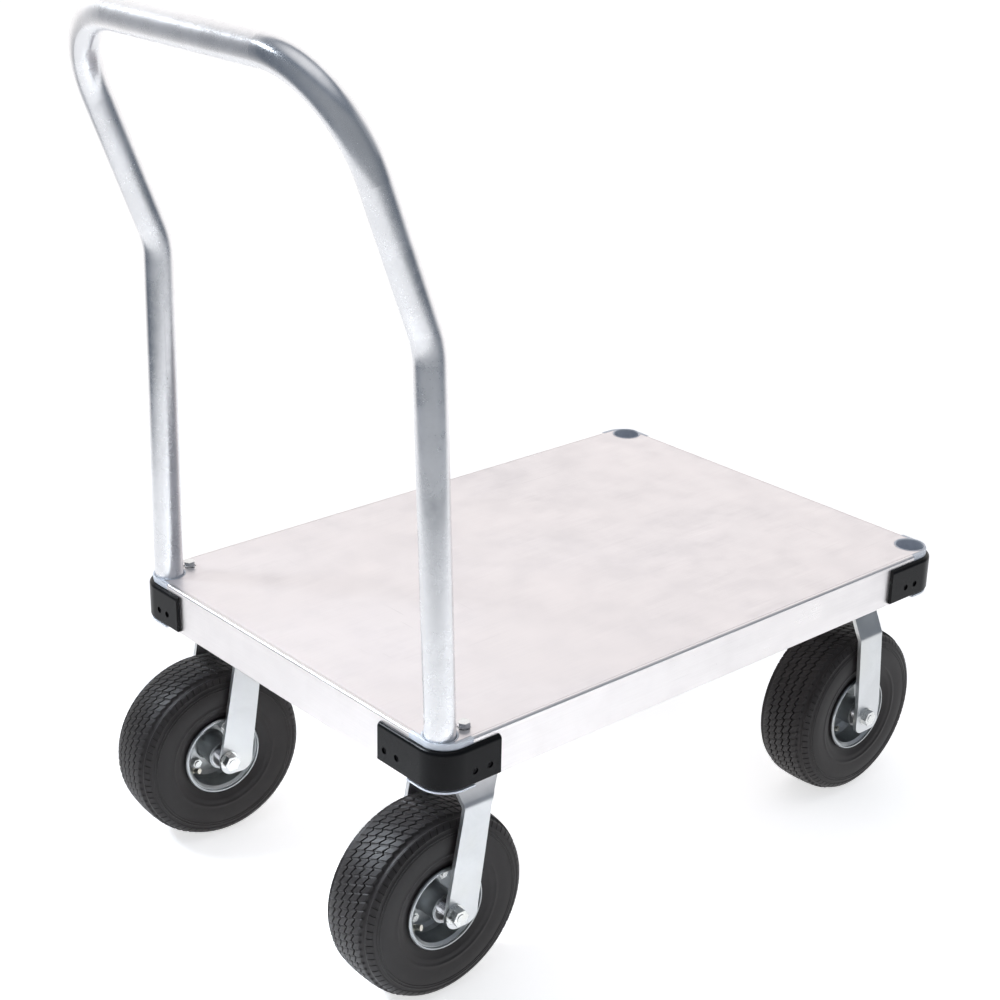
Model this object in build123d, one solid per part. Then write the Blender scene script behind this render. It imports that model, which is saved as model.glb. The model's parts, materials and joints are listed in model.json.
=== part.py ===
from build123d import *
import math
import os

# Platform cart with a lift-out bow handle, two swivel casters under the handle end and two rigid casters at the front, all on 10 inch pneumatic wheels.
# Frame: +X towards the front (away from the handle), +Y to the left of travel, +Z up, millimetres.
# Origin: bottom centre of the whole cart's bounding box, on the floor.

os.makedirs("parts", exist_ok=True)

# ---------------------------------------------------------------- driving dimensions
DECK_L = 914.4            # frame length, 36 in
DECK_W = 632.0            # frame width
DECK_TOP = 375.0          # deck surface above the floor
RAIL_H = 63.0             # depth of the extruded edge rails
PLATE_T = 3.0             # deck plate
RAIL_T = 4.0              # rail wall
LIP = 5.7                 # width of the rail lip that frames the deck plate
CORNER_R = 33.0           # plan radius of the frame corners

SOCKET_X = 435.0          # socket axis from the deck centre
SOCKET_Y = 287.0
SOCKET_R = 19.5           # bore that takes a 38.1 mm tube
SOCKET_FLOOR = 8.0        # metal left under the bore
BOLT_X, BOLT_Y = 401.0, 290.0   # deck bolt beside each rear socket
BLOCK_X0 = 408.0          # inner faces of the corner block
BLOCK_Y0 = 258.0

BUMPER_T = 5.5            # rubber corner guard
BUMPER_TOP = 8.0          # below the deck surface
BUMPER_BOT = 58.5

TUBE_R = 19.05            # handle tube, 38.1 mm outside
TUBE_T = 3.0
HANDLE_BEND_X = 439.0     # first bend behind the deck centre
HANDLE_BEND_Z = 466.7     # first bend above the deck surface
HANDLE_LEAN = 21.25       # degrees, lean back above that bend
HANDLE_REACH = 326.3      # along the lean, from the bend to the top bar's axis
HANDLE_R1 = 102.0         # centreline radius of the lower bends
HANDLE_FOOT_Z = 16.0      # the legs stand plumb up to this height above the deck
HANDLE_INWARD = 2.31      # degrees, lean of each leg towards the middle from there to the first bend
HANDLE_R2 = 123.5         # centreline radius of the top corners

WHEEL_R = 125.0           # tyre outside radius
TYRE_W = 93.0
AXLE_R = 6.0
NUT_REAR = 12.5           # lock nuts of the swivel casters
NUT_FRONT = 7.5           # plain nuts of the rigid casters
RUN_CLEAR = 0.08          # radial running clearance on axles and kingpins
CASTER_X = 363.0          # caster plate centre from the deck centre
CASTER_Y = 237.0
TRAIL = 50.0              # swivel lead
YAW_RR = -1.5             # how the two swivels stand at rest, degrees
YAW_RL = -5.3
PLATE_BOT = DECK_TOP - RAIL_H            # 312, underside of frame
CPLATE_T = 6.0            # caster top plate
CPLATE_X, CPLATE_Y = 100.0, 90.0
CBOLT_X, CBOLT_Y = 36.0, 30.0
LEG_T = 6.0               # fork plate
LEG_IN = 50.0             # inner face of a fork leg from the wheel's middle plane

XO = (HANDLE_BEND_X + HANDLE_REACH * math.sin(math.radians(HANDLE_LEAN)) + TUBE_R - CASTER_X - WHEEL_R) / 2
HX, HY = DECK_L / 2, DECK_W / 2

# screw positions of the corner guards, measured from the guard's outer faces: (along the end, along the side), and each guard's two leg lengths
GUARD = {
    "rear_right": dict(sx=-1, sy=-1, end=116.0, side=93.0, end_holes=(80.0, 103.0), side_holes=(53.0, 76.0)),
    "rear_left": dict(sx=-1, sy=1, end=93.0, side=93.0, end_holes=(50.0, 69.0), side_holes=(53.0, 76.0)),
    "front_right": dict(sx=1, sy=-1, end=116.0, side=106.0, end_holes=(80.0, 103.0), side_holes=(55.0, 75.0)),
    "front_left": dict(sx=1, sy=1, end=116.0, side=106.0, end_holes=(80.0, 103.0), side_holes=(55.0, 75.0)),
}
GUARD_SCREW_Z = DECK_TOP - 41.0

nodes = {}


# ---------------------------------------------------------------- helpers
def block(x0, x1, y0, y1, z0, z1):
    return Pos((x0 + x1) / 2, (y0 + y1) / 2, (z0 + z1) / 2) * Box(x1 - x0, y1 - y0, z1 - z0)


def rod(r, x, y, z0, z1):
    return Pos(x, y, (z0 + z1) / 2) * Cylinder(r, z1 - z0)


def hexa(across, x, y, z0, z1):
    p = extrude(RegularPolygon(across / 2, 6, major_radius=False), z1 - z0)
    return Pos(x, y, z0) * p


def along_y(shape):
    """Turns a solid made along +Z so that it runs along +Y."""
    return Rot(-90, 0, 0) * shape


def corner(shape, sx, sy):
    """Mirrors a solid made in the +X +Y quadrant to another corner."""
    if sx < 0:
        shape = mirror(shape, about=Plane.YZ)
    if sy < 0:
        shape = mirror(shape, about=Plane.XZ)
    return shape


def placed(shape):
    return Pos(XO, 0, 0) * shape


def group(shapes):
    solids = []
    for s in shapes:
        solids += list(s.solids())
    return Compound(children=solids)


def vertical_edges_at(part, x, y, tol=0.6):
    out = []
    for e in part.edges():
        a, b = e.position_at(0), e.position_at(1)
        if abs(a.X - b.X) < 1e-3 and abs(a.Y - b.Y) < 1e-3 and abs(a.Z - b.Z) > 1:
            if abs(a.X - x) < tol and abs(a.Y - y) < tol:
                out.append(e)
    return out


# ---------------------------------------------------------------- corner castings
def casting(g):
    zb, zt = PLATE_BOT, DECK_TOP - PLATE_T
    c = block(BLOCK_X0, HX, BLOCK_Y0, HY, zb, zt)
    c = fillet(vertical_edges_at(c, HX, HY), CORNER_R)
    flange = block(BLOCK_X0, HX + 4.0, BLOCK_Y0, HY + 4.0, zb, zb + 2.5)
    flange = fillet(vertical_edges_at(flange, HX + 4.0, HY + 4.0), CORNER_R + 4.0)
    pad = block(300, HX - 22.5, 190, HY - 22.5, zb, zb + 8)
    pad = fillet(vertical_edges_at(pad, 300, 190), 22)
    c = c + flange + pad
    # spigot arms that plug into the two rails
    c = c + block(345, BLOCK_X0, HY - RAIL_T - 6, HY - RAIL_T, zb + RAIL_T, zt - RAIL_T)
    c = c + block(HX - RAIL_T - 6, HX - RAIL_T, 205, BLOCK_Y0, zb + RAIL_T, zt - RAIL_T)
    # stiffening walls on the pad
    c = c + block(318, BLOCK_X0, 284, 291, zb + 8, zb + 30)
    c = c + block(BLOCK_X0 + 2, BLOCK_X0 + 9, 200, BLOCK_Y0, zb + 8, zb + 30)
    # raised lip round the plate's corner, level with the rails' lips
    lip = block(BLOCK_X0, HX, BLOCK_Y0, HY, zt, DECK_TOP)
    lip = fillet(vertical_edges_at(lip, HX, HY), CORNER_R)
    well = block(BLOCK_X0 - 50, HX - LIP + 0.5, BLOCK_Y0 - 50, HY - LIP + 0.5, zt - 1, DECK_TOP + 1)
    well = fillet(vertical_edges_at(well, HX - LIP + 0.5, HY - LIP + 0.5), CORNER_R - LIP + 0.5)
    c = c + (lip - well)
    # boss for the deck bolt beside the socket
    c = c + rod(10, BOLT_X, BOLT_Y, zb, zt)
    # collar round the socket mouth
    c = c + rod(SOCKET_R + 2.6, SOCKET_X, SOCKET_Y, zt, DECK_TOP + 0.4)
    # bore, lead-in and drain
    c = c - rod(SOCKET_R, SOCKET_X, SOCKET_Y, zb + SOCKET_FLOOR, DECK_TOP + 5)
    c = c - Pos(SOCKET_X, SOCKET_Y, DECK_TOP + 0.4 - 0.6) * Cone(SOCKET_R, SOCKET_R + 1.2, 1.2)
    c = c - rod(5, SOCKET_X, SOCKET_Y, zb - 1, zb + SOCKET_FLOOR + 1)
    # caster bolt holes
    for dx in (-CBOLT_X, CBOLT_X):
        for dy in (-CBOLT_Y, CBOLT_Y):
            c = c - rod(5.0, CASTER_X + dx, CASTER_Y + dy, zb - 1, zb + 9)
    # clearance for the kingpin head
    c = c - rod(11, CASTER_X, CASTER_Y, zb - 1, zb + 9)
    # deck bolt hole
    c = c - rod(4.0, BOLT_X, BOLT_Y, zb + 22, zt + 1)
    # guard screw pilot holes
    for h in g["side_holes"]:
        c = c - Pos(HX + BUMPER_T - h, HY - 2.6, GUARD_SCREW_Z) * along_y(Cylinder(2.5, 6.4))
    for h in g["end_holes"]:
        c = c - Pos(HX - 2.6, HY + BUMPER_T - h, GUARD_SCREW_Z) * (Rot(0, 90, 0) * Cylinder(2.5, 6.4))
    return c


def guard(g):
    """Rubber corner guard: an L-shaped band with a rounded top edge."""
    z0, z1 = DECK_TOP - BUMPER_BOT, DECK_TOP - BUMPER_TOP
    ox, oy = HX + BUMPER_T, HY + BUMPER_T
    b = block(ox - g["side"], ox, oy - g["end"], oy, z0, z1)
    b = fillet(vertical_edges_at(b, ox, oy), CORNER_R + BUMPER_T)
    top = [e for e in b.edges() if abs(e.position_at(0.5).Z - z1) < 1e-3 and (abs(e.position_at(0.5).X - ox) < 14 or abs(e.position_at(0.5).Y - oy) < 14)]
    bottom = [e for e in b.edges() if abs(e.position_at(0.5).Z - z0) < 1e-3 and (abs(e.position_at(0.5).X - ox) < 14 or abs(e.position_at(0.5).Y - oy) < 14)]
    b = fillet(top, 5.2)
    bottom = [e for e in b.edges() if abs(e.position_at(0.5).Z - z0) < 1e-3 and (abs(e.position_at(0.5).X - ox) < 14 or abs(e.position_at(0.5).Y - oy) < 14)]
    b = fillet(bottom, 2.0)
    inner = block(0, HX, 0, HY, z0 - 5, z1 + 5)
    inner = fillet(vertical_edges_at(inner, HX, HY), CORNER_R)
    b = b - inner
    for h in g["side_holes"]:
        x = ox - h
        b = b - Pos(x, HY + 2, GUARD_SCREW_Z) * along_y(Cylinder(2.7, 14))
        b = b - Pos(x, oy - 2 + 0.5, GUARD_SCREW_Z) * along_y(Cylinder(4.4, 5.0))
    for h in g["end_holes"]:
        y = oy - h
        b = b - Pos(HX + 2, y, GUARD_SCREW_Z) * (Rot(0, 90, 0) * Cylinder(2.7, 14))
        b = b - Pos(ox - 2 + 0.5, y, GUARD_SCREW_Z) * (Rot(0, 90, 0) * Cylinder(4.4, 5.0))
    return b


def guard_screws(g):
    """Pan-head screws, one solid each, sunk in the guard."""
    ox, oy = HX + BUMPER_T, HY + BUMPER_T
    s = Pos(0, 0, -3.5) * Cylinder(2.4, 7.0)
    s = s + Pos(0, 0, 1.0) * Cylinder(4.0, 2.0)
    s = s - Pos(0, 0, 1.7) * Box(1.0, 4.4, 1.2) - Pos(0, 0, 1.7) * Box(4.4, 1.0, 1.2)
    out = []
    for h in g["side_holes"]:
        out.append(Pos(ox - h, oy - 4.0, GUARD_SCREW_Z) * along_y(s))
    for h in g["end_holes"]:
        out.append(Pos(ox - 4.0, oy - h, GUARD_SCREW_Z) * (Rot(0, 90, 0) * s))
    return out


castings, screws = {}, []
for name, g in GUARD.items():
    c = corner(casting(g), g["sx"], g["sy"])
    castings[name] = c
    nodes["corner_casting_" + name] = placed(c)
    nodes["corner_guard_" + name] = placed(corner(guard(g), g["sx"], g["sy"]))
    screws += [placed(corner(s, g["sx"], g["sy"])) for s in guard_screws(g)]
nodes["corner_guard_screws"] = group(screws)


# ---------------------------------------------------------------- edge rails
def rail_profile():
    """Section in (inward offset, height): web, ledge for the deck plate, lip and bottom flange."""
    zb, zt = PLATE_BOT, DECK_TOP
    pts = [(0, zb), (22, zb), (22, zb + RAIL_T), (RAIL_T, zb + RAIL_T), (RAIL_T, zt - PLATE_T - RAIL_T), (30, zt - PLATE_T - RAIL_T), (30, zt - PLATE_T), (LIP - 0.5, zt - PLATE_T), (LIP - 0.5, zt), (0, zt)]
    return pts


def rail_solid(length):
    """A rail along +X, centred, with its outer face at y = 0 and its flanges towards +Y."""
    pts = rail_profile()
    with BuildPart() as p:
        with BuildSketch(Plane.YZ):
            with BuildLine():
                Polyline(*pts, close=True)
            make_face()
        extrude(amount=length / 2, both=True)
    s = p.part
    top = [e for e in s.edges() if abs(e.position_at(0.5).Y) < 1e-3 and abs(e.position_at(0.5).Z - DECK_TOP) < 1e-3 and abs(e.position_at(0.5).X) < 1e-3]
    s = fillet(top, 3.2)
    low = [e for e in s.edges() if abs(e.position_at(0.5).Y) < 1e-3 and abs(e.position_at(0.5).Z - PLATE_BOT) < 1e-3 and abs(e.position_at(0.5).X) < 1e-3]
    s = fillet(low, 2.0)
    return s


def side_rail(sy):
    r = Pos(0, -HY, 0) * rail_solid(2 * BLOCK_X0)
    if sy > 0:
        r = mirror(r, about=Plane.XZ)
    for name, g in GUARD.items():
        if g["sy"] != sy:
            continue
        for h in g["side_holes"]:
            r = r - Pos(g["sx"] * (HX + BUMPER_T - h), sy * (HY - 2), GUARD_SCREW_Z) * along_y(Cylinder(2.6, 8))
        r = r - castings[name] - rod(10, g["sx"] * BOLT_X, g["sy"] * BOLT_Y, PLATE_BOT, DECK_TOP)
    return r


def end_rail(sx):
    r = Rot(0, 0, -90) * rail_solid(2 * BLOCK_Y0)   # outer face now at x = 0, flanges towards +X
    r = Pos(-HX, 0, 0) * r
    if sx > 0:
        r = mirror(r, about=Plane.YZ)
    for name, g in GUARD.items():
        if g["sx"] != sx:
            continue
        for h in g["end_holes"]:
            r = r - Pos(sx * (HX - 2), g["sy"] * (HY + BUMPER_T - h), GUARD_SCREW_Z) * (Rot(0, 90, 0) * Cylinder(2.6, 8))
        r = r - castings[name]
    return r


nodes["side_rail_right"] = placed(side_rail(-1))
nodes["side_rail_left"] = placed(side_rail(1))
nodes["end_rail_rear"] = placed(end_rail(-1))
nodes["end_rail_front"] = placed(end_rail(1))

# lip pieces round the four corners are part of the castings' plan: the deck plate has the same corner radius inside them
plate = block(-HX + LIP, HX - LIP, -HY + LIP, HY - LIP, DECK_TOP - PLATE_T, DECK_TOP)
for sx in (-1, 1):
    for sy in (-1, 1):
        plate = fillet(vertical_edges_at(plate, sx * (HX - LIP), sy * (HY - LIP)), CORNER_R - LIP)
for sx in (-1, 1):
    for sy in (-1, 1):
        plate = plate - rod(SOCKET_R + 2.9, sx * SOCKET_X, sy * SOCKET_Y, DECK_TOP - 5, DECK_TOP + 5)
for sy in (-1, 1):
    plate = plate - rod(8.4, -BOLT_X, sy * BOLT_Y, DECK_TOP - 5, DECK_TOP + 5)
nodes["deck_plate"] = placed(plate)

# bolts in the two rear castings, standing in clearance holes of the plate
bolts = []
for sy in (-1, 1):
    x, y, z = -BOLT_X, sy * BOLT_Y, DECK_TOP - PLATE_T
    b = rod(3.9, x, y, PLATE_BOT + 30, z) + rod(8.1, x, y, z, z + 1.8) + hexa(13.6, x, y, z + 1.8, z + 10.5)
    bolts.append(placed(b))
nodes["deck_corner_bolts"] = group(bolts)

# hat-section stiffeners under the plate
stiff = []
for x in (-205.0, 0.0, 205.0):
    zt = DECK_TOP - PLATE_T
    with BuildPart() as p:
        with BuildSketch(Plane.XZ):
            with BuildLine():
                Polyline((-38, zt), (-19, zt), (-15, zt - 34), (15, zt - 34), (19, zt), (38, zt), (38, zt - 2.5), (21.3, zt - 2.5), (17.2, zt - 36.5), (-17.2, zt - 36.5), (-21.3, zt - 2.5), (-38, zt - 2.5), close=True)
            make_face()
        extrude(amount=HY - 30.5, both=True)
    stiff.append(placed(Pos(x, 0, 0) * p.part))
nodes["deck_stiffeners"] = group(stiff)

# ---------------------------------------------------------------- handle
a = math.radians(HANDLE_LEAN)
zb = DECK_TOP + HANDLE_BEND_Z
floor_z = PLATE_BOT + SOCKET_FLOOR
tx, tz = -HANDLE_BEND_X - HANDLE_REACH * math.sin(a), zb + HANDLE_REACH * math.cos(a)
zf = DECK_TOP + HANDLE_FOOT_Z
yb = SOCKET_Y - (zb - zf) * math.tan(math.radians(HANDLE_INWARD))
right = [(-SOCKET_X, -SOCKET_Y, floor_z), (-SOCKET_X, -SOCKET_Y, zf), (-HANDLE_BEND_X, -yb, zb), (tx, -yb, tz)]
pts = right + [(x, -y, z) for x, y, z in reversed(right)]
with BuildLine() as path:
    FilletPolyline(*pts, radius=[120.0, HANDLE_R1, HANDLE_R2, HANDLE_R2, HANDLE_R1, 120.0])
start = Plane(origin=pts[0], z_dir=(0, 0, 1))
ring = start * (Circle(TUBE_R) - Circle(TUBE_R - TUBE_T))
handle = sweep(ring, path=path.wire())
nodes["handle_tube"] = placed(handle)


# ---------------------------------------------------------------- wheels, made about the origin with the axle along Y
def revolve_y(points, closed=True):
    """Revolves a polyline of (axial offset, radius) about the Y axis."""
    with BuildPart() as p:
        with BuildSketch(Plane.XY):
            with BuildLine():
                Polyline(*[(r, o) for o, r in points], close=closed)
            make_face()
        revolve(axis=Axis.Y)
    return p.part


def tyre():
    hw = TYRE_W / 2
    R = WHEEL_R
    outer = [(0, R), (hw * 0.36, R - 0.5), (hw * 0.62, R - 2.0), (hw * 0.80, R - 5.2), (hw * 0.91, R - 11.0), (hw * 0.975, R - 19.5), (hw, R - 31), (hw * 0.985, R - 42), (hw * 0.955, R - 52), (hw * 0.90, R - 62.5)]
    inner = [(30.0, 60.0), (33.5, 68.0), (36.0, 80.0), (36.5, 94.0), (34.5, 105.0), (29.0, 112.0), (18.0, 115.5), (0, 116.5)]
    with BuildPart() as p:
        with BuildSketch(Plane.XY):
            with BuildLine():
                Spline([(r, o) for o, r in outer], tangents=[(0, 1), (-1, -0.35)])
                Polyline([(outer[-1][1], outer[-1][0]), (58.9, 37.7), (53.2, 37.7), (51.1, 35.8), (51.1, 29.0), (inner[0][1], inner[0][0])])
                Spline([(r, o) for o, r in inner], tangents=[(1, 0.35), (0, -1)])
                Line((inner[-1][1], 0), (outer[0][1], 0))
            make_face()
        revolve(axis=Axis.Y)
        mirror(about=Plane.XZ)
    return p.part


def rim_half(side, hole):
    """Pressed rim half: bolted disc, bearing cup, bead seat and rolled flange."""
    pts = [(0.0, 17.5), (41.0, 17.5), (41.0, 20.2), (4.8, 20.2), (2.8, 22.2), (2.8, 40.0), (6.4, 45.2), (11.0, 48.2), (37.4, 48.2), (40.6, 51.4), (40.6, 52.6), (42.8, 53.2), (42.8, 55.0), (41.2, 56.2), (38.9, 56.2), (38.0, 55.3), (38.0, 52.4), (36.4, 50.8), (10.0, 50.8), (3.4, 46.4), (0.0, 41.8)]
    r = revolve_y(pts)
    for i in range(4):
        t = math.radians(45 + 90 * i)
        r = r - Pos(32 * math.cos(t), 0, 32 * math.sin(t)) * along_y(Cylinder(4.2, 20))
    if side < 0:
        r = mirror(r, about=Plane.XZ)
    if hole is not None:
        r = r - hole
    return r


VALVE_A = math.radians(205)   # clock position of the valve at rest
VALVE_FOOT = Vector(50.0 * math.cos(VALVE_A), -15.0, 50.0 * math.sin(VALVE_A))
VALVE_TIP = Vector(38.5 * math.cos(VALVE_A), -37.0, 38.5 * math.sin(VALVE_A))


def rod_between(p, q, r0, r1=None):
    d = q - p
    pl = Plane(origin=p, z_dir=d)
    return pl * (Pos(0, 0, d.length / 2) * (Cylinder(r0, d.length) if r1 is None else Cone(r0, r1, d.length)))


def valve():
    d = (VALVE_TIP - VALVE_FOOT).normalized()
    v = rod_between(VALVE_FOOT, VALVE_FOOT + d * 16, 4.4, 3.6) + rod_between(VALVE_FOOT + d * 15.9, VALVE_TIP, 3.0)
    return v + rod_between(VALVE_FOOT + d * 18.5, VALVE_TIP + d * 0.5, 3.9)


def valve_hole():
    d = (VALVE_TIP - VALVE_FOOT).normalized()
    return rod_between(VALVE_FOOT - d * 6, VALVE_FOOT + d * 15, 4.9)


def bearing_pair():
    pts = [(29.0, AXLE_R + RUN_CLEAR), (49.6, AXLE_R + RUN_CLEAR), (49.6, 9.2), (41.2, 9.2), (41.2, 10.4), (40.4, 10.4), (40.4, 14.2), (41.2, 14.2), (41.2, 17.45), (29.0, 17.45)]
    b = revolve_y(pts)
    return [b, mirror(b, about=Plane.XZ)]


def rim_bolts():
    out = []
    for i in range(4):
        t = math.radians(45 + 90 * i)
        s = rod(3.9, 0, 0, -10.5, 9.0) + hexa(12, 0, 0, -8.6, -2.8) + hexa(12, 0, 0, 2.8, 8.4)
        out.append(Pos(32 * math.cos(t), 0, 32 * math.sin(t)) * along_y(s))
    return out


def wheel_parts():
    return {
        "tyre": tyre(),
        "rim_outer_half": rim_half(-1, valve_hole()),
        "rim_inner_half": rim_half(1, None),
        "hub_bearings": group(bearing_pair()),
        "rim_bolts": group(rim_bolts()),
        "tyre_valve": valve(),
    }


def axle_bolt(nut_h):
    """Head on the +Y side, thread end on the -Y side."""
    s = rod(AXLE_R, 0, 0, -(LEG_IN + LEG_T) - 3.3 - nut_h, LEG_IN + LEG_T + 1.0) + hexa(19.0, 0, 0, LEG_IN + LEG_T, LEG_IN + LEG_T + 8.0)
    return along_y(s)


def axle_nut(nut_h):
    """Washer and nut on the -Y side."""
    y = -(LEG_IN + LEG_T)
    w = rod(12.8, 0, 0, y - 2.5, y) - rod(AXLE_R + 0.02, 0, 0, y - 5, y + 1)
    n = hexa(19.6, 0, 0, y - 2.5 - nut_h, y - 2.5) - rod(AXLE_R + 0.02, 0, 0, y - 20, y + 1)
    return group([along_y(w), along_y(n)])


# ---------------------------------------------------------------- forks
def bent_band(crown_z, crown_half, knee_z, bottom_z, x0, x1, r=9.0):
    """An inverted U of plate with inclined shoulders, extruded along X: crown, shoulders, legs. crown_z is the top of the crown."""
    t = LEG_T
    ym, zm = LEG_IN + t / 2, crown_z - t / 2
    mid = [(-ym, bottom_z), (-ym, knee_z), (-crown_half, zm), (crown_half, zm), (ym, knee_z), (ym, bottom_z)]

    def shifted(d):
        """The band's middle line moved outwards by d, with mitred corners."""
        out = []
        for i, (y, z) in enumerate(mid):
            seg = []
            for j in (i - 1, i):
                if 0 <= j < len(mid) - 1:
                    dy, dz = mid[j + 1][0] - mid[j][0], mid[j + 1][1] - mid[j][1]
                    k = math.hypot(dy, dz)
                    seg.append((-dz / k, dy / k))
            if len(seg) == 1:
                out.append((y + seg[0][0] * d, z + seg[0][1] * d))
            else:
                (a1, b1), (a2, b2) = seg
                k = d / (1 + a1 * a2 + b1 * b2)
                out.append((y + (a1 + a2) * k, z + (b1 + b2) * k))
        return out

    o, i = shifted(t / 2), shifted(-t / 2)
    with BuildPart() as p:
        with BuildSketch(Plane.YZ.offset(x0)):
            with BuildLine():
                FilletPolyline(*o, radius=r + t / 2)
                FilletPolyline(*i, radius=r - t / 2)
                Line(o[0], i[0])
                Line(o[-1], i[-1])
            make_face()
        extrude(amount=x1 - x0)
    return p.part


def leg_outline(points, rounds):
    """Extrudes a leg's side view, given in (x, z), along Y, wide enough to trim a fork. rounds gives a fillet radius for some of the points by index."""
    with BuildPart() as p:
        with BuildSketch(Plane.XZ) as sk:
            with BuildLine():
                Polyline(*points, close=True)
            make_face()
            for i, r in rounds.items():
                x, z = points[i]
                near = sorted(sk.vertices(), key=lambda v: math.hypot(v.X - x, v.Y - z))[0]
                fillet(near, r)
        extrude(amount=120, both=True)
    return p.part


def swivel_fork():
    """About the kingpin: x = 0 is the kingpin, the wheel trails towards -X."""
    crown_top = 294.0
    band = bent_band(crown_top, 27.0, 265.0, WHEEL_R - 40, -110, 60)
    b = TRAIL + 10.0   # back edge of the leg at the axle's height, from the kingpin
    outline = leg_outline([(34, 300), (34, 287), (8, 266), (-TRAIL + 38.5, 130), (-TRAIL + 36, 101), (-b - 2, 101), (-b - 0.6, 122), (-34.5, 262), (-34.5, 300)], {1: 5, 2: 26, 3: 30, 4: 17, 5: 17, 6: 30, 7: 40})
    f = band & outline
    f = f - rod(AXLE_R + RUN_CLEAR, 0, 0, crown_top - 20, crown_top + 5)
    f = f - Pos(-TRAIL, 0, WHEEL_R) * along_y(Cylinder(AXLE_R + 0.05, 160))
    # ball groove in the crown
    f = f - Pos(0, 0, crown_top + 3.0) * Torus(21.0, 3.8)
    return f


def swivel_plate():
    """Caster top plate with the pressed raceway under it."""
    z0, z1 = PLATE_BOT - CPLATE_T, PLATE_BOT
    p = block(-CPLATE_X / 2, CPLATE_X / 2, -CPLATE_Y / 2, CPLATE_Y / 2, z0, z1)
    p = fillet([e for sx in (-1, 1) for sy in (-1, 1) for e in vertical_edges_at(p, sx * CPLATE_X / 2, sy * CPLATE_Y / 2)], 8)
    race = rod(29.0, 0, 0, 300.0, z0) - rod(13.5, 0, 0, 299.0, z0)
    p = p + race
    p = p - Pos(0, 0, 297.0) * Torus(21.0, 3.8)
    p = p - rod(AXLE_R + 0.03, 0, 0, 290, 320)
    for dx in (-CBOLT_X, CBOLT_X):
        for dy in (-CBOLT_Y, CBOLT_Y):
            p = p - rod(5.0, dx, dy, z0 - 1, z1 + 1)
    return p


def kingpin():
    """Kingpin bolt with its head above the top plate, and its flange nut under the fork crown."""
    b = rod(AXLE_R, 0, 0, 277.0, PLATE_BOT) + rod(10.2, 0, 0, PLATE_BOT, PLATE_BOT + 5.0)
    n = rod(12.5, 0, 0, 285.2, 287.4) + hexa(18, 0, 0, 279.0, 285.2)
    n = n - rod(AXLE_R + 0.02, 0, 0, 270, 290)
    return [b, n]


def balls():
    return [Pos(21.0 * math.cos(t), 21.0 * math.sin(t), 297.0) * Sphere(3.45) for t in [2 * math.pi * i / 14 for i in range(14)]]


def rigid_fork():
    """Fixed fork welded to its top plate; x = 0 is the axle's place."""
    z0, z1 = PLATE_BOT - CPLATE_T, PLATE_BOT
    band = bent_band(z0, 30.0, 254.0, WHEEL_R - 40, -60, 60)
    outline = leg_outline([(20, 312), (20.5, 250), (29, 150), (29, 100), (-18.5, 100), (-18.5, 148), (-27, 262), (-27, 312)], {1: 60, 2: 80, 3: 13, 4: 13, 5: 80, 6: 60})
    f = band & outline
    top = block(-CPLATE_X / 2, CPLATE_X / 2, -CPLATE_Y / 2, CPLATE_Y / 2, z0, z1)
    top = fillet([e for sx in (-1, 1) for sy in (-1, 1) for e in vertical_edges_at(top, sx * CPLATE_X / 2, sy * CPLATE_Y / 2)], 8)
    f = f + top
    for dx in (-CBOLT_X, CBOLT_X):
        for dy in (-CBOLT_Y, CBOLT_Y):
            f = f - rod(5.0, dx, dy, z0 - 1, z1 + 1)
    f = f - Pos(0, 0, WHEEL_R) * along_y(Cylinder(AXLE_R + 0.05, 160))
    return f


# ---------------------------------------------------------------- assembly of the casters
W = wheel_parts()
sf, sp, kp, bl, rf = swivel_fork(), swivel_plate(), kingpin(), balls(), rigid_fork()
ab, an = axle_bolt(NUT_REAR), axle_nut(NUT_REAR)
ab_front, an_front = axle_bolt(NUT_FRONT), axle_nut(NUT_FRONT)


def at_swivel(shape, sy, yaw, wheel=False):
    t = Pos(XO - CASTER_X, sy * CASTER_Y, 0) * Rot(0, 0, yaw)
    if wheel:
        t = t * Pos(-TRAIL, 0, WHEEL_R)
    return t * shape


for name, sy, yaw in (("rear_right", -1, YAW_RR), ("rear_left", 1, YAW_RL)):
    nodes["swivel_fork_" + name] = at_swivel(sf, sy, yaw)
    nodes["swivel_top_plate_" + name] = at_swivel(sp, sy, 0)
    nodes["kingpin_" + name] = group([at_swivel(s, sy, 0) for s in kp])
    nodes["swivel_balls_" + name] = group([at_swivel(s, sy, yaw) for s in bl])
    nodes["axle_bolt_" + name] = at_swivel(ab, sy, yaw, True)
    nodes["axle_nut_" + name] = group([at_swivel(s, sy, yaw, True) for s in an.solids()])
    for k, s in W.items():
        nodes[k + "_" + name] = group([at_swivel(x, sy, yaw, True) for x in s.solids()]) if len(s.solids()) > 1 else at_swivel(s, sy, yaw, True)

for name, sy in (("front_right", -1), ("front_left", 1)):
    t = Pos(XO + CASTER_X, sy * CASTER_Y, 0)
    tw = t * Pos(0, 0, WHEEL_R)
    nodes["rigid_fork_" + name] = t * rf
    nodes["axle_bolt_" + name] = tw * ab_front
    for k, s in W.items():
        nodes[k + "_" + name] = group([tw * x for x in s.solids()]) if len(s.solids()) > 1 else tw * s
nodes["axle_nuts_front"] = group([Pos(XO + CASTER_X, sy * CASTER_Y, WHEEL_R) * x for sy in (-1, 1) for x in an_front.solids()])

# bolts that hold the four caster plates to the castings
cb = []
for sx in (-1, 1):
    for sy in (-1, 1):
        for dx in (-CBOLT_X, CBOLT_X):
            for dy in (-CBOLT_Y, CBOLT_Y):
                x, y = sx * CASTER_X + dx, sy * CASTER_Y + dy
                s = rod(4.7, x, y, 301.0, PLATE_BOT + 18.0) + hexa(14.0, x, y, 300.0, 306.0) + hexa(14.0, x, y, PLATE_BOT + 8.0, PLATE_BOT + 15.5)
                cb.append(placed(s))
nodes["caster_plate_bolts"] = group(cb)

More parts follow.
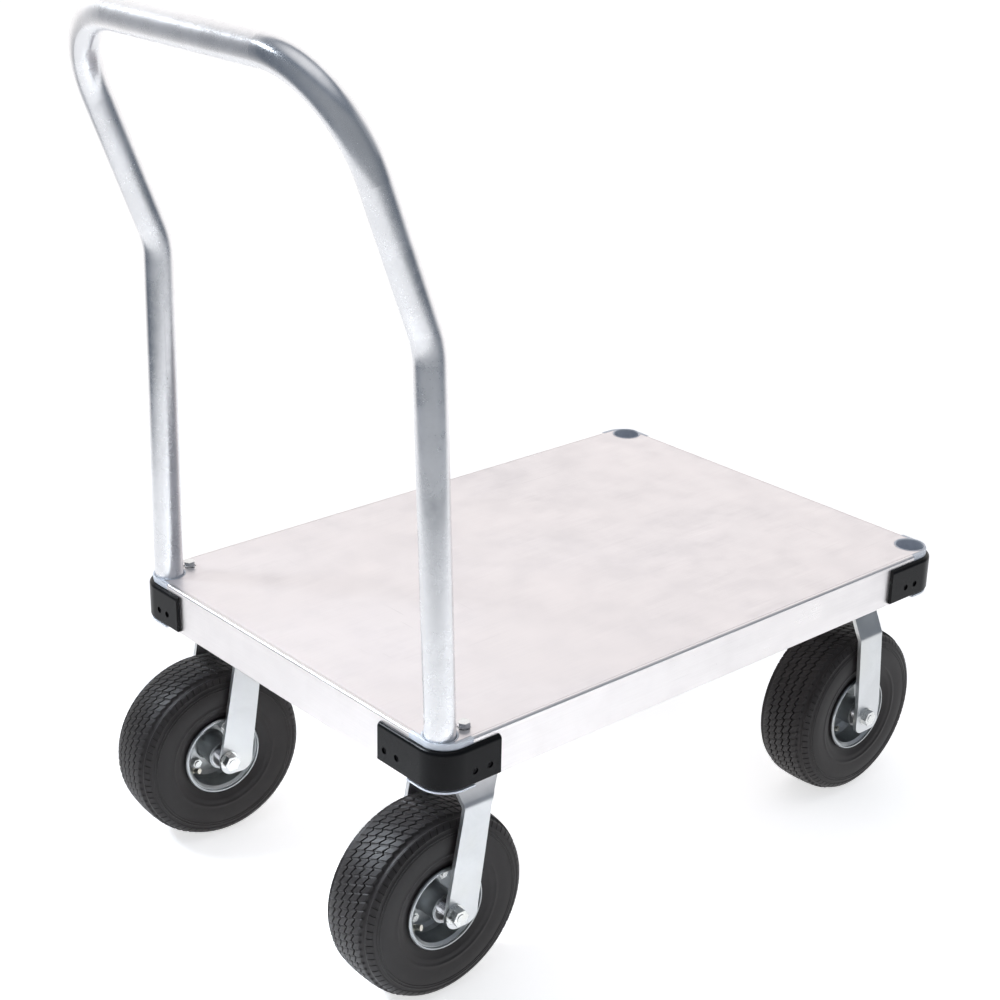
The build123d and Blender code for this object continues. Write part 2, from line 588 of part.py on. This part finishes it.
# ---------------------------------------------------------------- export
for name, shape in nodes.items():
    export_step(shape, os.path.join("parts", name + ".step"))

boxes = [s.bounding_box() for s in nodes.values()]
lo = [min(b.min.X for b in boxes), min(b.min.Y for b in boxes), min(b.min.Z for b in boxes)]
hi = [max(b.max.X for b in boxes), max(b.max.Y for b in boxes), max(b.max.Z for b in boxes)]
print("nodes", len(nodes), "box", [round(v, 2) for v in lo], [round(v, 2) for v in hi])
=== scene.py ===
import json
import math

import bpy
import numpy as np
from mathutils import Matrix, Vector


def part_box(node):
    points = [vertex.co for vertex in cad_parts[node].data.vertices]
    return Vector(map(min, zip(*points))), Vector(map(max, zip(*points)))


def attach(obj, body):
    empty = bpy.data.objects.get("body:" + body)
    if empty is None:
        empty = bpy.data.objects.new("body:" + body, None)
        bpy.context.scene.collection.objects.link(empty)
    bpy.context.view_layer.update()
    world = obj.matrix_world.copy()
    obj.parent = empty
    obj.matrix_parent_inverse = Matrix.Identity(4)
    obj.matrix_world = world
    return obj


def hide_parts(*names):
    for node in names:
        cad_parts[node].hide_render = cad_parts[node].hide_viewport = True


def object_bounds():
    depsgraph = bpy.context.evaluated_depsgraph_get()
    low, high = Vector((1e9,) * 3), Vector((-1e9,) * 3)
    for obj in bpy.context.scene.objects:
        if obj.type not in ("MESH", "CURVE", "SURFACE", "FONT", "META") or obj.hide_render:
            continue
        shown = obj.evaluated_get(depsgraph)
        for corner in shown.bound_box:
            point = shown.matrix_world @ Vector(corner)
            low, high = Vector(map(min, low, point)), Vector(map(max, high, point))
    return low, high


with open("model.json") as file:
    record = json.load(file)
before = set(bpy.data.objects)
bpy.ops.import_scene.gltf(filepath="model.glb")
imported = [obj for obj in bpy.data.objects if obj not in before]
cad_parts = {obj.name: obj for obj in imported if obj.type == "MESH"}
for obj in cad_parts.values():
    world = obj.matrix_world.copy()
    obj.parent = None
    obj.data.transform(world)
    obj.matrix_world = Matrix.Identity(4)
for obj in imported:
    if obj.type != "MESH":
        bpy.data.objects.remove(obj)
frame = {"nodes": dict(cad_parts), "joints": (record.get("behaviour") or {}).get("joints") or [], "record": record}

CAD_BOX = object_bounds()
NODES = frame["nodes"]
JOINTS = {j["child"]: j for j in frame["joints"]}
CORNERS = ("rear_right", "rear_left", "front_right", "front_left")
scene = bpy.context.scene


# ------------------------------------------------------------------ camera
def make_camera():
    """A long lens from above the rear right corner, level but for a slight roll."""
    data = bpy.data.cameras.new("studio_camera")
    cam = bpy.data.objects.new("studio_camera", data)
    scene.collection.objects.link(cam)
    az, el, roll = math.radians(-41.73), math.radians(22.45), math.radians(1.234)
    back = Vector((math.sin(az) * math.cos(el), -math.cos(az) * math.cos(el), math.sin(el)))
    right = Vector((math.cos(az), math.sin(az), 0.0))
    up = back.cross(right)
    r = right * math.cos(roll) + up * math.sin(roll)
    u = up * math.cos(roll) - right * math.sin(roll)
    m = Matrix((r, u, back)).transposed().to_4x4()
    m.translation = Vector((-1.65334, -1.7980, 1.4827))
    cam.matrix_world = m
    data.sensor_width = 36.0
    data.lens = 70.09
    data.clip_start, data.clip_end = 0.05, 60.0
    data.dof.use_dof = False
    scene.camera = cam


make_camera()


# ------------------------------------------------------------------ node helpers
class Nodes:
    """A small helper that builds one material's node tree."""

    def __init__(self, name):
        self.mat = bpy.data.materials.new(name)
        self.mat.use_nodes = True
        self.nt = self.mat.node_tree
        self.nt.nodes.clear()
        self.out = self.nt.nodes.new("ShaderNodeOutputMaterial")
        self.bsdf = self.nt.nodes.new("ShaderNodeBsdfPrincipled")
        self.nt.links.new(self.bsdf.outputs[0], self.out.inputs[0])
        self.coord = self.nt.nodes.new("ShaderNodeTexCoord").outputs["Object"]

    def put(self, socket, value):
        s = self.bsdf.inputs[socket]
        if isinstance(value, bpy.types.NodeSocket):
            self.nt.links.new(value, s)
        else:
            s.default_value = value

    def mapped(self, scale=(1, 1, 1), rotate=(0, 0, 0), move=(0, 0, 0)):
        m = self.nt.nodes.new("ShaderNodeMapping")
        m.inputs["Scale"].default_value = scale
        m.inputs["Rotation"].default_value = rotate
        m.inputs["Location"].default_value = move
        self.nt.links.new(self.coord, m.inputs["Vector"])
        return m.outputs[0]

    def noise(self, scale, detail=3.0, rough=0.55, vector=None, distortion=0.0):
        n = self.nt.nodes.new("ShaderNodeTexNoise")
        n.inputs["Scale"].default_value = scale
        n.inputs["Detail"].default_value = detail
        n.inputs["Roughness"].default_value = rough
        n.inputs["Distortion"].default_value = distortion
        self.nt.links.new(vector or self.coord, n.inputs["Vector"])
        return n.outputs["Fac"]

    def voronoi(self, scale, vector=None, feature="F1", randomness=1.0):
        n = self.nt.nodes.new("ShaderNodeTexVoronoi")
        n.feature = feature
        n.inputs["Scale"].default_value = scale
        n.inputs["Randomness"].default_value = randomness
        self.nt.links.new(vector or self.coord, n.inputs["Vector"])
        return n.outputs["Distance"]

    def span(self, value, lo, hi, to_lo=0.0, to_hi=1.0, smooth=False):
        n = self.nt.nodes.new("ShaderNodeMapRange")
        n.interpolation_type = "SMOOTHSTEP" if smooth else "LINEAR"
        n.clamp = True
        self.nt.links.new(value, n.inputs["Value"])
        n.inputs["From Min"].default_value = lo
        n.inputs["From Max"].default_value = hi
        n.inputs["To Min"].default_value = to_lo
        n.inputs["To Max"].default_value = to_hi
        return n.outputs["Result"]

    def math(self, op, a, b=None):
        n = self.nt.nodes.new("ShaderNodeMath")
        n.operation = op
        for i, v in enumerate((a, b)):
            if v is None:
                continue
            if isinstance(v, bpy.types.NodeSocket):
                self.nt.links.new(v, n.inputs[i])
            else:
                n.inputs[i].default_value = v
        return n.outputs[0]

    def mix(self, fac, a, b, blend="MIX"):
        n = self.nt.nodes.new("ShaderNodeMix")
        n.data_type = "RGBA"
        n.blend_type = blend
        n.clamp_factor = True
        for key, v in (("Factor_Float", fac), ("A_Color", a), ("B_Color", b)):
            s = next(x for x in n.inputs if x.identifier == key)
            if isinstance(v, bpy.types.NodeSocket):
                self.nt.links.new(v, s)
            elif key == "Factor_Float":
                s.default_value = v
            else:
                s.default_value = (*v, 1.0)
        return next(x for x in n.outputs if x.identifier == "Result_Color")

    def bump(self, height, distance, strength=1.0, normal=None):
        n = self.nt.nodes.new("ShaderNodeBump")
        n.inputs["Strength"].default_value = strength
        n.inputs["Distance"].default_value = distance
        self.nt.links.new(height, n.inputs["Height"])
        if normal is not None:
            self.nt.links.new(normal, n.inputs["Normal"])
        return n.outputs[0]

    def axis(self, name):
        n = self.nt.nodes.new("ShaderNodeSeparateXYZ")
        self.nt.links.new(self.coord, n.inputs[0])
        return n.outputs[name]


def aluminium(name, tint, rough, drawn=None, mottle=0.05, cloud=5.0, scratches=True):
    """Satin mill-finish aluminium: cloudy handling marks, faint draw lines along `drawn`, a few hairline scratches."""
    k = Nodes(name)
    big = k.noise(cloud, 4, 0.6, distortion=0.4)
    mid = k.noise(cloud * 6.5, 5, 0.62)
    fine = k.noise(900, 2, 0.5)
    dark = tuple(max(0.0, c - mottle * 1.5) for c in tint)
    light = tuple(min(1.0, c + mottle * 0.7) for c in tint)
    col = k.mix(k.span(big, 0.34, 0.66, smooth=True), dark, light)
    col = k.mix(k.span(mid, 0.42, 0.70, 0.0, 0.35, smooth=True), col, tuple(c * 0.93 for c in tint))
    r = k.math("ADD", k.span(big, 0.3, 0.7, rough - 0.05, rough + 0.05), k.span(mid, 0.3, 0.7, -0.03, 0.04))
    normal = k.bump(fine, 0.00004, 0.35)
    if drawn is not None:
        s = [1400.0, 1400.0, 1400.0]
        s[drawn] = 9.0
        lines = k.noise(1.0, 2, 0.5, k.mapped(s))
        r = k.math("ADD", r, k.span(lines, 0.35, 0.65, -0.05, 0.05))
        normal = k.bump(lines, 0.00003, 0.5, normal)
        col = k.mix(k.span(lines, 0.40, 0.66, 0.0, 0.22), col, tuple(c * 0.90 for c in tint))
    if scratches:
        a = k.noise(1.0, 1, 0.5, k.mapped((5.0, 420.0, 420.0), (0.2, 0.1, 0.62)))
        b = k.noise(1.0, 1, 0.5, k.mapped((380.0, 6.0, 380.0), (0.1, 0.0, 0.35), (0.3, 0.1, 0)))
        line = k.math("MAXIMUM", k.span(a, 0.745, 0.775), k.span(b, 0.750, 0.780))
        patch = k.span(k.noise(4.0, 2), 0.45, 0.62)
        line = k.math("MULTIPLY", line, patch)
        col = k.mix(k.math("MULTIPLY", line, 0.5), col, tuple(c * 0.78 for c in tint))
        r = k.math("ADD", r, k.math("MULTIPLY", line, 0.12))
    k.put("Base Color", col)
    k.put("Metallic", 1.0)
    k.put("Roughness", r)
    k.put("Normal", normal)
    return k.mat


def cast_painted_sheen(name, tint, rough):
    """Fettled sand-cast aluminium: fine pitted grain under a light linish. The pale blue-grey base colour is partly
    the casting's own grey and partly a painted reflection sheen, kept mostly non-metallic so the socket bores show
    painted brightness.
    """
    k = Nodes(name)
    grain = k.noise(1300, 4, 0.7)
    pits = k.voronoi(520)
    wear = k.noise(14, 4, 0.6)
    col = k.mix(k.span(wear, 0.35, 0.65, smooth=True), tuple(c * 0.86 for c in tint), tint)
    col = k.mix(k.span(pits, 0.0, 0.22, 0.5, 0.0), col, tuple(c * 0.6 for c in tint))
    k.put("Base Color", col)
    # mostly non-metallic, so the painted blue-grey sheen in the base colour stands in for reflections
    k.put("Metallic", 0.2)
    k.put("Roughness", k.span(wear, 0.3, 0.7, rough - 0.06, rough + 0.08))
    n = k.bump(grain, 0.00012, 0.6)
    k.put("Normal", k.bump(pits, 0.0001, 0.4, n))
    return k.mat


def zinc(name, tint, rough, spangle=0.05, scale=60.0):
    """Bright zinc plate: a cool tone with soft clouding, faint passivation colour and handling marks."""
    k = Nodes(name)
    cloud = k.noise(scale * 0.35, 4, 0.6, distortion=0.6)
    fine = k.noise(scale * 6, 3, 0.6)
    col = k.mix(k.span(cloud, 0.32, 0.68, smooth=True), tuple(max(0, c - spangle * 1.6) for c in tint), tuple(min(1, c + spangle) for c in tint))
    warm = (tint[0] * 1.0, tint[1] * 0.985, tint[2] * 0.93)
    col = k.mix(k.span(k.noise(scale * 0.2, 2, 0.5), 0.48, 0.7, 0.0, 0.5, smooth=True), col, warm)
    k.put("Base Color", col)
    k.put("Metallic", 1.0)
    k.put("Roughness", k.math("ADD", k.span(cloud, 0.3, 0.7, rough - 0.05, rough + 0.06), k.span(fine, 0.3, 0.7, -0.04, 0.04)))
    k.put("Normal", k.bump(fine, 0.00004, 0.5))
    return k.mat


def rubber(name, tone, rough, grain=700.0, depth=0.00008, dust=0.25, gloss=0.5):
    """Moulded rubber: fine pebbled skin, bloom and dust in soft patches."""
    k = Nodes(name)
    pebble = k.voronoi(grain)
    fine = k.noise(grain * 2.2, 3, 0.6)
    soft = k.noise(11, 4, 0.62, distortion=0.3)
    light = tuple(c * 1.9 + 0.012 for c in tone)
    col = k.mix(k.span(soft, 0.40, 0.72, 0.0, dust, smooth=True), tone, light)
    col = k.mix(k.span(k.noise(90, 4, 0.7), 0.52, 0.72, 0.0, dust * 0.9), col, tuple(c * 1.5 + 0.006 for c in tone))
    k.put("Base Color", col)
    k.put("Metallic", 0.0)
    k.put("Specular IOR Level", gloss)
    k.put("Roughness", k.math("ADD", k.span(soft, 0.3, 0.7, rough - 0.05, rough + 0.08), k.span(fine, 0.3, 0.7, -0.04, 0.04)))
    n = k.bump(pebble, depth, 0.35)
    k.put("Normal", k.bump(fine, depth * 0.5, 0.5, n))
    return k.mat


MATS = {
    "deck": aluminium("deck_sheet", (0.885, 0.842, 0.845), 0.42, drawn=0, mottle=0.028, cloud=3.4),
    "rail_x": aluminium("rail_extrusion_x", (0.905, 0.875, 0.87), 0.36, drawn=0, mottle=0.02, cloud=4.5),
    "rail_y": aluminium("rail_extrusion_y", (0.885, 0.855, 0.852), 0.36, drawn=1, mottle=0.02, cloud=4.5),
    # cast corners: the blue-grey tint is partly own grey and partly a painted reflection sheen
    "cast_painted_sheen": cast_painted_sheen("cast_corner_painted_sheen", (0.76, 0.80, 0.865), 0.40),
    "tube": aluminium("drawn_tube", (0.84, 0.845, 0.86), 0.27, drawn=None, mottle=0.05, cloud=16.0),
    "guard": rubber("guard_rubber", (0.0028, 0.003, 0.0038), 0.28, grain=900.0, depth=0.00003, dust=0.07, gloss=0.16),
    "tyre": rubber("tyre_rubber", (0.018, 0.0155, 0.0155), 0.46, grain=650.0, depth=0.00006, dust=0.30, gloss=0.32),
    "rim": zinc("rim_zinc", (0.47, 0.49, 0.50), 0.36, 0.05, 70.0),
    "fork": zinc("fork_zinc", (0.70, 0.715, 0.725), 0.38, 0.035, 45.0),
    "fastener": zinc("fastener_zinc", (0.76, 0.77, 0.76), 0.26, 0.05, 160.0),
    "black_bolt": zinc("black_oxide", (0.035, 0.035, 0.037), 0.40, 0.01, 300.0),
    "bearing": zinc("ground_steel", (0.70, 0.70, 0.71), 0.22, 0.03, 200.0),
    "valve": zinc("nickel_brass", (0.72, 0.70, 0.63), 0.20, 0.03, 250.0),
}
SLOT_MAT = {
    "deck_aluminium": "deck", "cast_aluminium": "cast_painted_sheen", "handle_aluminium": "tube", "guard_rubber": "guard", "tyre": "tyre",
    "rim_zinc": "rim", "fork_zinc": "fork", "fastener_zinc": "fastener", "black_fastener": "black_bolt", "bearing_steel": "bearing", "valve": "valve",
}
for part in frame["record"]["subparts"]:
    node, slot = part["node"], part["material_slot"]
    if slot == "rail_aluminium":
        key = "rail_y" if node.startswith("end_rail") or node == "deck_stiffeners" else "rail_x"
    else:
        key = SLOT_MAT[slot]
    data = NODES[node].data
    data.materials.clear()
    data.materials.append(MATS[key])


# ------------------------------------------------------------------ tyres with a sawtooth tread
PITCHES = 72
FRACTIONS = (0.0, 0.05, 0.10, 0.155, 0.36, 0.57, 0.785)
SIPE = (0.0, 1.0, 1.0, 0.0, 0.0, 0.0, 0.0)


def smooth_profile(points, count=240):
    """A Catmull-Rom curve through (offset, radius) points, sampled evenly along each segment, with the arc length at
    each sample.
    """
    p = np.array(points, float)
    p = np.vstack([2 * p[0] - p[1], p, 2 * p[-1] - p[-2]])
    if abs(points[0][0]) < 1e-9:
        p[0] = (-p[2][0], p[2][1])
    out = []
    for i in range(1, len(p) - 2):
        for t in np.linspace(0, 1, 40, endpoint=False):
            a, b, c, d = p[i - 1], p[i], p[i + 1], p[i + 2]
            out.append(0.5 * ((2 * b) + (c - a) * t + (2 * a - 5 * b + 4 * c - d) * t * t + (3 * b - a - 3 * c + d) * t ** 3))
    out.append(p[-2])
    out = np.array(out)
    s = np.concatenate([[0], np.cumsum(np.linalg.norm(np.diff(out, axis=0), axis=1))])
    return s, out


def tyre_section(half_width, radius):
    """The cross-section's rows from the middle of the tread outwards to the bead, one side only."""
    hw, R = half_width, radius
    skin = [(0, R), (hw * 0.36, R - 0.5), (hw * 0.62, R - 2.0), (hw * 0.80, R - 5.2), (hw * 0.91, R - 11.0), (hw * 0.975, R - 19.5), (hw, R - 31), (hw * 0.985, R - 42), (hw * 0.955, R - 52), (hw * 0.90, R - 62.5)]
    s, curve = smooth_profile(skin)

    def at(pos):
        y, r = np.interp(pos, s, curve[:, 0]), np.interp(pos, s, curve[:, 1])
        y2, r2 = np.interp(pos + 0.2, s, curve[:, 0]), np.interp(pos + 0.2, s, curve[:, 1])
        y1, r1 = np.interp(max(pos - 0.2, 0), s, curve[:, 0]), np.interp(max(pos - 0.2, 0), s, curve[:, 1])
        t = np.array([y2 - y1, r2 - r1])
        t /= np.linalg.norm(t)
        return np.array([y, r]), np.array([-t[1], t[0]])

    # position, depth, sawtooth share (mm of zigzag), sipe depth
    zig, cut = 4.4, 0.9
    rows = [(0.0, 0.0, zig, cut), (2.6, 0.0, zig, cut)]
    for c, w, d in ((6.4, 2.2, 3.0), (19.2, 2.2, 3.0)):
        for ds, dz in ((-w / 2 - 0.4, 0.0), (-w / 2, 0.35), (-w / 2 + 0.35, d), (w / 2 - 0.35, d), (w / 2, 0.35), (w / 2 + 0.4, 0.0)):
            rows.append((c + ds, dz, zig, cut))
        rows += [(c + 4.6, 0.0, zig, cut), (c + 8.2, 0.0, zig, cut)] if c < 10 else [(c + 4.2, 0.0, zig, cut), (c + 7.6, 0.0, zig * 0.8, cut)]
    # outer edge of the last rib, with the sawtooth, then the plain shoulder groove
    rows += [(30.0, 0.0, zig * 0.6, cut), (30.5, 0.4, zig * 0.6, cut), (31.3, 2.0, zig * 0.45, 0.0), (32.8, 2.9, zig * 0.15, 0.0), (34.6, 3.1, 0.0, 0.0), (37.0, 2.9, 0.0, 0.0), (38.3, 2.0, 0.0, 0.0), (39.0, 0.7, 0.0, 0.0), (39.5, 0.25, 0.0, 0.55)]
    # shoulder rib with its short ticks, then the step to the sidewall
    rows += [(40.6, 0.0, 0.0, 0.9), (43.0, 0.0, 0.0, 1.0), (45.6, 0.0, 0.0, 1.0), (48.0, 0.0, 0.0, 0.9), (48.9, 0.2, 0.0, 0.4), (49.5, 0.9, 0.0, 0.0), (50.4, 1.15, 0.0, 0.0), (53.0, 1.1, 0.0, 0.0)]
    # two fine moulded rings
    for c in (54.6, 58.2):
        rows += [(c - 0.9, 1.0, 0, 0), (c - 0.45, 0.45, 0, 0), (c + 0.45, 0.45, 0, 0), (c + 0.9, 1.0, 0, 0)]
    rows += [(62.0, 0.95, 0, 0), (66.5, 0.75, 0, 0), (71.0, 0.65, 0, 0), (75.5, 0.6, 0, 0), (79.5, 0.55, 0, 0)]
    # rim protector ring above the bead
    rows += [(82.6, 0.5, 0, 0), (83.4, -0.0, 0, 0), (84.9, -0.0, 0, 0), (85.8, 0.55, 0, 0), (88.5, 0.6, 0, 0), (91.5, 0.4, 0, 0), (93.6, 0.6, 0, 0)]
    section = []
    for pos, depth, saw, sipe in rows:
        section.append((pos, depth, saw, sipe))
    end = float(s[-1])
    return at, section, end


def build_tyre(corner, half_width, radius):
    """One tyre as a closed grid, round the wheel by PITCHES blocks and across by the section's rows."""
    at, section, end = tyre_section(half_width, radius)
    K = len(FRACTIONS)
    n_theta = PITCHES * K
    frac = np.array([FRACTIONS[i % K] for i in range(n_theta)])
    base = np.array([(i // K + FRACTIONS[i % K]) for i in range(n_theta)])
    sip = np.array([SIPE[i % K] for i in range(n_theta)])
    # sawtooth: slopes outwards along the block and steps back across the cut
    f1 = FRACTIONS[3]
    saw = np.where(frac < f1 + 1e-9, 0.5 - frac / f1, -0.5 + (frac - f1) / (1 - f1))
    inner = [(37.6, 58.8), (37.6, 53.4), (35.8, 51.15), (29.5, 51.15), (30.0, 60.0), (33.5, 70.0), (36.0, 84.0), (35.6, 98.0), (31.0, 110.0), (19.0, 115.4), (0.0, 116.5)]
    rings = []
    shear_per_mm = 0.5 / 12.8

    def ring(sign, pos, depth, zig, cut):
        pts = np.zeros((n_theta, 3))
        shear = shear_per_mm * min(pos, 31.0) * sign * (1 - min(max((pos - 31.0) / 60.0, 0), 1)) + (0 if pos <= 31 else 0)
        theta = (base + shear) * 2 * math.pi / PITCHES
        for i in range(n_theta):
            p = sign * pos + saw[i] * zig
            q, n = at(abs(p))
            d = max(depth, cut * sip[i]) if depth >= 0 else depth
            y, r = q[0] - n[0] * d, q[1] - n[1] * d
            ys = math.copysign(y, p) if abs(p) > 1e-9 else 0.0
            pts[i] = (r * math.cos(theta[i]), ys, r * math.sin(theta[i]))
        return pts

    for pos, depth, zig, cut in reversed(section[1:]):
        rings.append(ring(-1, pos, depth, zig, cut))
    for pos, depth, zig, cut in section:
        rings.append(ring(1, pos, depth, zig, cut))
    th = base * 2 * math.pi / PITCHES
    for y, r in inner:
        rings.append(np.stack([r * np.cos(th), np.full(n_theta, y), r * np.sin(th)], 1))
    for y, r in reversed(inner[:-1]):
        rings.append(np.stack([r * np.cos(th), np.full(n_theta, -y), r * np.sin(th)], 1))
    verts = np.concatenate(rings)
    m = len(rings)
    faces = []
    for j in range(m):
        a, b = j * n_theta, ((j + 1) % m) * n_theta
        for i in range(n_theta):
            k = (i + 1) % n_theta
            faces.append((a + i, b + i, b + k, a + k))
    return verts, faces


tyre_lo, tyre_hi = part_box("tyre_front_right")
RADIUS_MM = (tyre_hi.z - tyre_lo.z) * 500
HALF_MM = (tyre_hi.y - tyre_lo.y) * 500
VERTS, FACES = build_tyre("any", HALF_MM, RADIUS_MM)


def place_tyres():
    for i, corner in enumerate(CORNERS):
        lo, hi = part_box("tyre_" + corner)
        centre = (lo + hi) / 2
        axis = Vector(JOINTS["wheel_" + corner]["axis"]).normalized()
        x = axis.cross(Vector((0, 0, 1))).normalized()
        z = x.cross(axis)
        rot = np.array([[x[k], axis[k], z[k]] for k in range(3)])
        turn = math.radians(17.0 * i + 3)
        spin = np.array([[math.cos(turn), 0, math.sin(turn)], [0, 1, 0], [-math.sin(turn), 0, math.cos(turn)]])
        co = (VERTS / 1000) @ spin.T @ rot.T + np.array(centre)
        mesh = bpy.data.meshes.new("tyre_tread_" + corner)
        mesh.from_pydata(co.tolist(), [], FACES)
        mesh.update()
        mesh.polygons.foreach_set("use_smooth", [True] * len(mesh.polygons))
        mesh.set_sharp_from_angle(angle=math.radians(38))
        mesh.materials.append(MATS["tyre"])
        o = bpy.data.objects.new("tyre_tread_" + corner, mesh)
        scene.collection.objects.link(o)
        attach(o, "wheel_" + corner)
        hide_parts("tyre_" + corner)


place_tyres()


# ------------------------------------------------------------------ studio
def studio():
    lo, hi = CAD_BOX
    k = Nodes("studio_floor")
    k.put("Base Color", k.mix(k.span(k.noise(0.7, 2), 0.3, 0.7), (0.86, 0.86, 0.86), (0.88, 0.88, 0.88)))
    k.put("Roughness", 0.9)
    k.put("Specular IOR Level", 0.1)
    k.put("Emission Color", (1.0, 1.0, 1.0, 1.0))
    k.put("Emission Strength", 0.65)
    rim = [(1.9 * math.cos(math.radians(a)), 1.9 * math.sin(math.radians(a)), lo.z - 0.0003) for a in range(0, 360, 3)]
    mesh = bpy.data.meshes.new("studio_floor")
    mesh.from_pydata(rim, [], [tuple(range(len(rim)))])
    mesh.materials.append(k.mat)
    floor = bpy.data.objects.new("studio_floor", mesh)
    scene.collection.objects.link(floor)

    world = bpy.data.worlds.new("studio_world")
    scene.world = world
    world.use_nodes = True
    nt = world.node_tree
    nt.nodes.clear()
    out = nt.nodes.new("ShaderNodeOutputWorld")
    lit = nt.nodes.new("ShaderNodeBackground")
    seen = nt.nodes.new("ShaderNodeBackground")
    pick = nt.nodes.new("ShaderNodeMixShader")
    path = nt.nodes.new("ShaderNodeLightPath")
    tc = nt.nodes.new("ShaderNodeTexCoord")
    sep = nt.nodes.new("ShaderNodeSeparateXYZ")
    nt.links.new(tc.outputs["Generated"], sep.inputs[0])
    # brightness rises towards the backdrop side and falls behind the photographer and overhead
    dot = nt.nodes.new("ShaderNodeVectorMath")
    dot.operation = "DOT_PRODUCT"
    nt.links.new(tc.outputs["Generated"], dot.inputs[0])
    dot.inputs[1].default_value = (0.656, 0.755, 0.0)
    ramp = nt.nodes.new("ShaderNodeValToRGB")
    nt.links.new(dot.outputs["Value"], ramp.inputs[0])
    span = nt.nodes.new("ShaderNodeMapRange")
    nt.links.new(dot.outputs["Value"], span.inputs["Value"])
    span.inputs["From Min"].default_value = -1.0
    span.inputs["From Max"].default_value = 1.0
    nt.links.new(span.outputs[0], ramp.inputs[0])
    e = ramp.color_ramp.elements
    e[0].position, e[0].color = 0.10, (0.30, 0.32, 0.35, 1)
    e[1].position, e[1].color = 0.84, (1.20, 1.175, 1.17, 1)
    mid = ramp.color_ramp.elements.new(0.57)
    mid.color = (0.10, 0.125, 0.165, 1)
    high = nt.nodes.new("ShaderNodeMapRange")
    high.interpolation_type = "SMOOTHSTEP"
    nt.links.new(sep.outputs["Z"], high.inputs["Value"])
    high.inputs["From Min"].default_value = 0.56
    high.inputs["From Max"].default_value = 0.78
    above = nt.nodes.new("ShaderNodeValToRGB")
    nt.links.new(sep.outputs["Z"], above.inputs[0])
    e = above.color_ramp.elements
    e[0].position, e[0].color = 0.80, (0.16, 0.19, 0.24, 1)
    e[1].position, e[1].color = 0.98, (0.85, 0.86, 0.89, 1)
    shade = nt.nodes.new("ShaderNodeMix")
    shade.data_type = "RGBA"
    nt.links.new(high.outputs[0], next(x for x in shade.inputs if x.identifier == "Factor_Float"))
    nt.links.new(ramp.outputs[0], next(x for x in shade.inputs if x.identifier == "A_Color"))
    nt.links.new(above.outputs[0], next(x for x in shade.inputs if x.identifier == "B_Color"))
    nt.links.new(next(x for x in shade.outputs if x.identifier == "Result_Color"), lit.inputs["Color"])
    lit.inputs["Strength"].default_value = 1.0
    seen.inputs["Color"].default_value = (1.0, 1.0, 1.0, 1.0)
    seen.inputs["Strength"].default_value = 1.05
    nt.links.new(path.outputs["Is Camera Ray"], pick.inputs[0])
    nt.links.new(lit.outputs[0], pick.inputs[1])
    nt.links.new(seen.outputs[0], pick.inputs[2])
    nt.links.new(pick.outputs[0], out.inputs[0])

    def area(name, at, to, size, power, colour=(1, 1, 1), spread=180.0):
        data = bpy.data.lights.new(name, "AREA")
        data.shape = "RECTANGLE"
        data.size, data.size_y = size
        data.energy = power
        data.color = colour
        data.spread = math.radians(spread)
        o = bpy.data.objects.new(name, data)
        scene.collection.objects.link(o)
        o.location = at
        o.rotation_euler = (Vector(at) - Vector(to)).to_track_quat("Z", "Y").to_euler()
        return o

    area("key_softbox", (-1.55, 1.15, 1.95), (-0.40, -0.24, 0.15), (0.75, 0.75), 3.0, (0.85, 0.92, 1.0), 26.0)
    area("fill_softbox", (2.4, -2.2, 2.6), (0.1, 0.0, 0.3), (2.2, 2.2), 3.0, (1.0, 0.985, 0.975))
    area("top_softbox", (0.6, 0.6, 3.4), (0.0, 0.0, 0.4), (2.4, 2.4), 1.0)


studio()
scene.view_settings.view_transform = "Standard"
scene.view_settings.look = "None"
scene.view_settings.exposure = 0.0
scene.view_settings.gamma = 1.0
